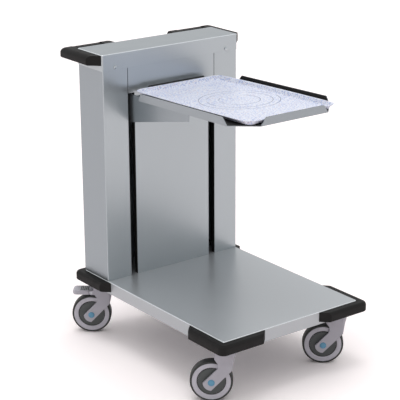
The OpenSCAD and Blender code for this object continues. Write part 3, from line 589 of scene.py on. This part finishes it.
class TRAYCART_OT_tray(bpy.types.Operator):
    """Shape the serving tray"""

    bl_idname = "traycart.tray"
    bl_label = "Serving tray"

    def execute(self, context):
        sizes = context.scene.tray_cart_sizes
        bm = bmesh.new()
        half_w, half_l = sizes.tray_width / 2 - sizes.tray_bow, sizes.tray_length / 2
        bmesh.ops.create_grid(bm, x_segments=1, y_segments=1, size=1)
        bmesh.ops.scale(bm, vec=(half_w, half_l, 1), verts=bm.verts)
        bmesh.ops.bevel(bm, geom=list(bm.verts), offset=sizes.tray_corner, offset_type="OFFSET", segments=6,
                        profile=0.5, affect="VERTICES", material=-1)
        long_edges = [e for e in bm.edges if e.calc_length() > half_w]
        bmesh.ops.subdivide_edges(bm, edges=long_edges, cuts=7)
        for v in bm.verts:
            v.co.x += math.copysign(sizes.tray_bow * (1 - (v.co.y / half_l) ** 2), v.co.x)
        floor = bm.faces[:]
        bm.normal_update()
        if floor[0].normal.z < 0:
            bmesh.ops.reverse_faces(bm, faces=floor)
        for width, rise in self.section():
            bmesh.ops.inset_region(bm, faces=floor, thickness=width, depth=rise, use_boundary=True,
                                   use_even_offset=True)
        sink = Matrix.Translation((0, 0, -min(v.co.z for v in bm.verts)))
        across = Vector((1, 0, 0))
        up = Vector(TRAY_MOUNT["axis"]).normalized()
        turn = Matrix((across, up.cross(across), up)).transposed().to_4x4()
        bmesh.ops.transform(bm, verts=bm.verts, matrix=Matrix.Translation(TRAY_FLOOR) @ turn @ sink)
        tray = place_piece(bm, "serving_tray_moulded", BODY_OF["serving_tray"], "tray_laminate",
                           ("serving_tray",), weighted=False)
        wall = tray.modifiers.new("Laminate thickness", "SOLIDIFY")
        wall.thickness = sizes.tray_wall
        wall.offset = -1
        round_off = tray.modifiers.new("Rounded laminate", "SUBSURF")
        round_off.levels = 2
        round_off.render_levels = 2
        return {"FINISHED"}

    def section(self):
        """The tray's section from its edge to its floor, as steps inwards and upwards."""
        return ((0.5 * MM, 0.3 * MM), (0.7 * MM, 0.7 * MM), (1.8 * MM, 0.5 * MM), (3.4 * MM, -0.2 * MM),
                (1.4 * MM, -1.0 * MM), (2.2 * MM, -4.0 * MM), (3.2 * MM, -5.2 * MM), (1.6 * MM, -1.5 * MM),
                (2.4 * MM, -0.6 * MM), (3.0 * MM, -0.1 * MM), (16 * MM, 0.0))


class TRAYCART_OT_castors(bpy.types.Operator):
    """Finish the four castors: forks, axles, wheels, tyres and brake pedals"""

    bl_idname = "traycart.castors"
    bl_label = "Castors"

    def execute(self, context):
        sizes = context.scene.tray_cart_sizes
        for corner in CORNERS:
            finish_solid("fork_" + corner, sizes.fork_edge)
            clothe("swivel_" + corner)
            wheel = "wheel_" + corner
            self.fit("wheel_centre_", corner, wheel, self.wheel_section(), "rim_grey")
            self.fit("tyre_tread_", corner, "tyre_" + corner, self.tyre_section(), "tyre_rubber")
            self.fit("axle_caps_", corner, "axle_" + corner, self.axle_section(), "axle_blue")
            for side, hand in (("outer_", 1), ("inner_", -1)):
                disc, gap_shade = self.disc_section(hand), self.gap_shade_section(hand)
                self.fit("hub_disc_" + side, corner, wheel, disc, "disc_grey", "bumper_black")
                # A black ring stands for the shade in the gap around each hub disc: painted shade
                self.fit("hub_gap_shade_" + side, corner, wheel, gap_shade, "stop_rubber", "bumper_black")
        for side in SIDES:
            finish_solid("brake_pedal_" + side, sizes.fork_edge)
            clothe("pedal_pin_" + side)
            self.pedal_tread(side)
        return {"FINISHED"}

    def fit(self, name, corner, node, section, finish, slot=None):
        """Turn a section about the axle. It stands for its node, unless it takes another node's slot."""
        bm = turned([(r * MM, z * MM) for r, z in section])
        bmesh.ops.transform(bm, matrix=wheel_place(corner), verts=bm.verts)
        place_piece(bm, name + corner, BODY_OF[node], finish, () if slot else (node,))

    # Each section runs from the middle of the wheel outwards, in millimetres from the axle and from the
    # wheel's own middle plane

    def mirrored(self, half):
        """Both halves of a section, of which only a point on the middle plane isn't doubled."""
        return half + [(r, -z) for r, z in reversed(half) if z]

    def wheel_section(self):
        """Nylon wheel: bored hub, dished web, and a flat ring with two moulded grooves."""
        hub = [(4.05, 15.1), (4.5, 15.5), (9.6, 15.5), (10.4, 15.2), (11.2, 12.5)]
        web = [(42, 12.5), (44.2, 14.9), (45.2, 15.4)]
        ring = [(47.0, 15.5), (47.5, 14.9), (48.5, 14.9), (49.0, 15.5), (51.4, 15.5), (51.9, 14.9),
                (52.9, 14.9), (53.4, 15.5), (55.4, 15.5), (56.0, 15.0)]
        return self.mirrored(hub + web + ring)

    def disc_section(self, hand):
        """A dark disc that is pressed into the dish of the wheel."""
        inner = [(11.6, 12.5), (11.6, 13.4), (12.2, 13.8)]
        outer = [(37.2, 14.1), (38.8, 13.8), (39.4, 13.2), (39.4, 12.5)]
        return [(r, hand * z) for r, z in inner + outer]

    def gap_shade_section(self, hand):
        """A black ring in the gap between a hub disc and the ring of the wheel: painted shade of that gap."""
        gap_shade = [(39.6, 12.5), (39.8, 13.1), (40.8, 13.4), (41.9, 13.2), (42.3, 12.8), (42.0, 12.5)]
        return [(r, hand * z) for r, z in gap_shade]

    def tyre_section(self):
        """Rubber tyre with round shoulders and a slightly crowned tread."""
        shoulder = [(56.0, 14.9), (56.6, 15.3), (58.4, 15.4), (59.8, 15.0), (61.0, 14.1), (61.8, 12.9)]
        tread = [(62.2, 11.4), (62.35, 8.0), (62.45, 4.0), (62.47, 0.0)]
        return self.mirrored(shoulder + tread)

    def axle_section(self):
        """Axle with a domed blue cap at each end."""
        return self.mirrored([(0, 27.5), (2.5, 27.45), (5.4, 27.2), (7.8, 26.7), (9.3, 26.0), (9.9, 25.3),
                              (10.0, 24.6), (9.9, 24.5), (4.0, 24.5)])

    def pedal_tread(self, side):
        """Dark ribs across the top of a pedal, which a shoe's sole grips."""
        pedal = "brake_pedal_" + side
        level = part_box(pedal)[1].z - RIB_SUNK
        ribs = bmesh.new()
        for k in range(RIBS):
            rib = bmesh.ops.create_cube(ribs, size=1)["verts"]
            bmesh.ops.scale(ribs, vec=RIB_SIZE, verts=rib)
            bmesh.ops.translate(ribs, vec=(RIB_START + RIB_APART * k, 0, level), verts=rib)
        round_edges(ribs, list(ribs.edges), RIB_ROUND, RIB_ROUND_STEPS)
        bmesh.ops.transform(ribs, matrix=castor_place("rear_" + side), verts=ribs.verts)
        place_piece(ribs, "pedal_tread_" + side, BODY_OF[pedal], "disc_grey")


class TRAYCART_OT_stage(bpy.types.Operator):
    """Lay the floor and place the lights and the camera"""

    bl_idname = "traycart.stage"
    bl_label = "Floor, lights and camera"

    def execute(self, context):
        self.lay_floor()
        self.light_room()
        self.place_camera()
        context.scene.view_settings.view_transform = "Standard"
        return {"FINISHED"}

    def seen_or_mirrored(self, tree):
        """1 for what the camera sees, directly or in metal or glass, and 0 for light on the object."""
        path = add(tree, "ShaderNodeLightPath").outputs
        seen = maths(tree, "ADD", path["Is Camera Ray"], path["Is Glossy Ray"], use_clamp=True)
        return maths(tree, "ADD", seen, path["Is Transmission Ray"], use_clamp=True)

    def lay_floor(self):
        """A wide pale floor that shows the soft shadow under the deck."""
        material, tree = new_material("Pale studio floor")
        tone = blend(tree, noise(tree, (3, 3, 3)), rgba(srgb("#f8f1f1")), rgba(srgb("#f9f3f3")))
        lift = spread(tree, self.seen_or_mirrored(tree), 1, FLOOR_LIFT)
        shown = add(tree, "ShaderNodeVectorMath", {0: tone, "Scale": lift}, operation="SCALE").outputs[0]
        show(tree, add(tree, "ShaderNodeBsdfDiffuse", {"Color": shown}))
        bm = bmesh.new()
        bmesh.ops.create_grid(bm, x_segments=8, y_segments=8, size=FLOOR_HALF)
        mesh = bpy.data.meshes.new("Studio floor")
        bm.to_mesh(mesh)
        bm.free()
        mesh.materials.append(material)
        floor = bpy.data.objects.new("Studio floor", mesh)
        bpy.context.scene.collection.objects.link(floor)

    def light_room(self):
        """An even white room that is brighter overhead, with one large soft lamp above."""
        world = bpy.data.worlds.new("White studio")
        bpy.context.scene.world = world
        world.use_nodes = True
        tree = world.node_tree
        tree.nodes.clear()
        ways = add(tree, "ShaderNodeTexCoord")
        height = add(tree, "ShaderNodeSeparateXYZ", {0: ways.outputs["Generated"]})
        dome = spread(tree, height.outputs["Z"], 0, OVERHEAD_LIGHT)
        strength = add(tree, "ShaderNodeMix", {0: self.seen_or_mirrored(tree), 2: dome, 3: 1.0})
        room = add(tree, "ShaderNodeBackground", {"Color": (1, 1, 1, 1), "Strength": strength.outputs[0]})
        output = add(tree, "ShaderNodeOutputWorld", {"Surface": room.outputs[0]})
        output.is_active_output = True
        data = bpy.data.lights.new("Broad lamp overhead", "SUN")
        data.energy = LAMP_STRENGTH
        data.angle = LAMP_SPREAD
        lamp = bpy.data.objects.new("Broad lamp overhead", data)
        bpy.context.scene.collection.objects.link(lamp)
        turn = LAMP_AIM.to_track_quat("-Z", "Y").to_matrix().to_4x4()
        lamp.matrix_world = Matrix.Translation((0, 0, LAMP_HEIGHT)) @ turn

    def place_camera(self):
        """Stand the camera at the photograph's own viewpoint."""
        around = Vector((math.sin(CAMERA_TURN), -math.cos(CAMERA_TURN), 0))
        back = math.cos(CAMERA_RISE) * around + Vector((0, 0, math.sin(CAMERA_RISE)))
        level = Vector((math.cos(CAMERA_TURN), math.sin(CAMERA_TURN), 0))
        right = math.cos(CAMERA_ROLL) * level + math.sin(CAMERA_ROLL) * back.cross(level)
        up = back.cross(right)
        data = bpy.data.cameras.new("Photograph's viewpoint")
        data.sensor_width = CAMERA_SENSOR
        data.lens = CAMERA_LENS
        camera = bpy.data.objects.new("Photograph's viewpoint", data)
        bpy.context.scene.collection.objects.link(camera)
        facing = Matrix((right, up, back)).transposed().to_4x4()
        camera.matrix_world = Matrix.Translation(CAMERA_PLACE) @ facing
        bpy.context.scene.camera = camera


OPERATORS = (
    TRAYCART_OT_deck,
    TRAYCART_OT_tower,
    TRAYCART_OT_mouldings,
    TRAYCART_OT_lift,
    TRAYCART_OT_platform,
    TRAYCART_OT_tray,
    TRAYCART_OT_castors,
    TRAYCART_OT_stage,
)


class TRAYCART_PT_panel(bpy.types.Panel):
    """Sidebar panel that lists the pieces and their sizes and colours"""

    bl_idname = "TRAYCART_PT_panel"
    bl_label = "Tray dispenser"
    bl_space_type = "VIEW_3D"
    bl_region_type = "UI"
    bl_category = "Tray cart"

    def draw(self, context):
        for operator in OPERATORS:
            self.layout.operator(operator.bl_idname)
        for group in (context.scene.tray_cart_sizes, context.scene.tray_cart_colours):
            for name in group.bl_rna.properties.keys():
                if name not in ("rna_type", "name"):
                    self.layout.prop(group, name)


CLASSES = (TRAYCART_PG_sizes, TRAYCART_PG_colours, *OPERATORS, TRAYCART_PT_panel)


def register():
    for cls in CLASSES:
        bpy.utils.register_class(cls)
    bpy.types.Scene.tray_cart_sizes = bpy.props.PointerProperty(type=TRAYCART_PG_sizes)
    bpy.types.Scene.tray_cart_colours = bpy.props.PointerProperty(type=TRAYCART_PG_colours)


def unregister():
    del bpy.types.Scene.tray_cart_colours
    del bpy.types.Scene.tray_cart_sizes
    for cls in reversed(CLASSES):
        bpy.utils.unregister_class(cls)


def main():
    """Make every piece."""
    register()
    MATERIALS.update(make_materials())
    bpy.ops.traycart.deck()
    bpy.ops.traycart.tower()
    bpy.ops.traycart.mouldings()
    bpy.ops.traycart.lift()
    bpy.ops.traycart.platform()
    bpy.ops.traycart.tray()
    bpy.ops.traycart.castors()
    bpy.ops.traycart.stage()


if __name__ == "__main__":
    main()
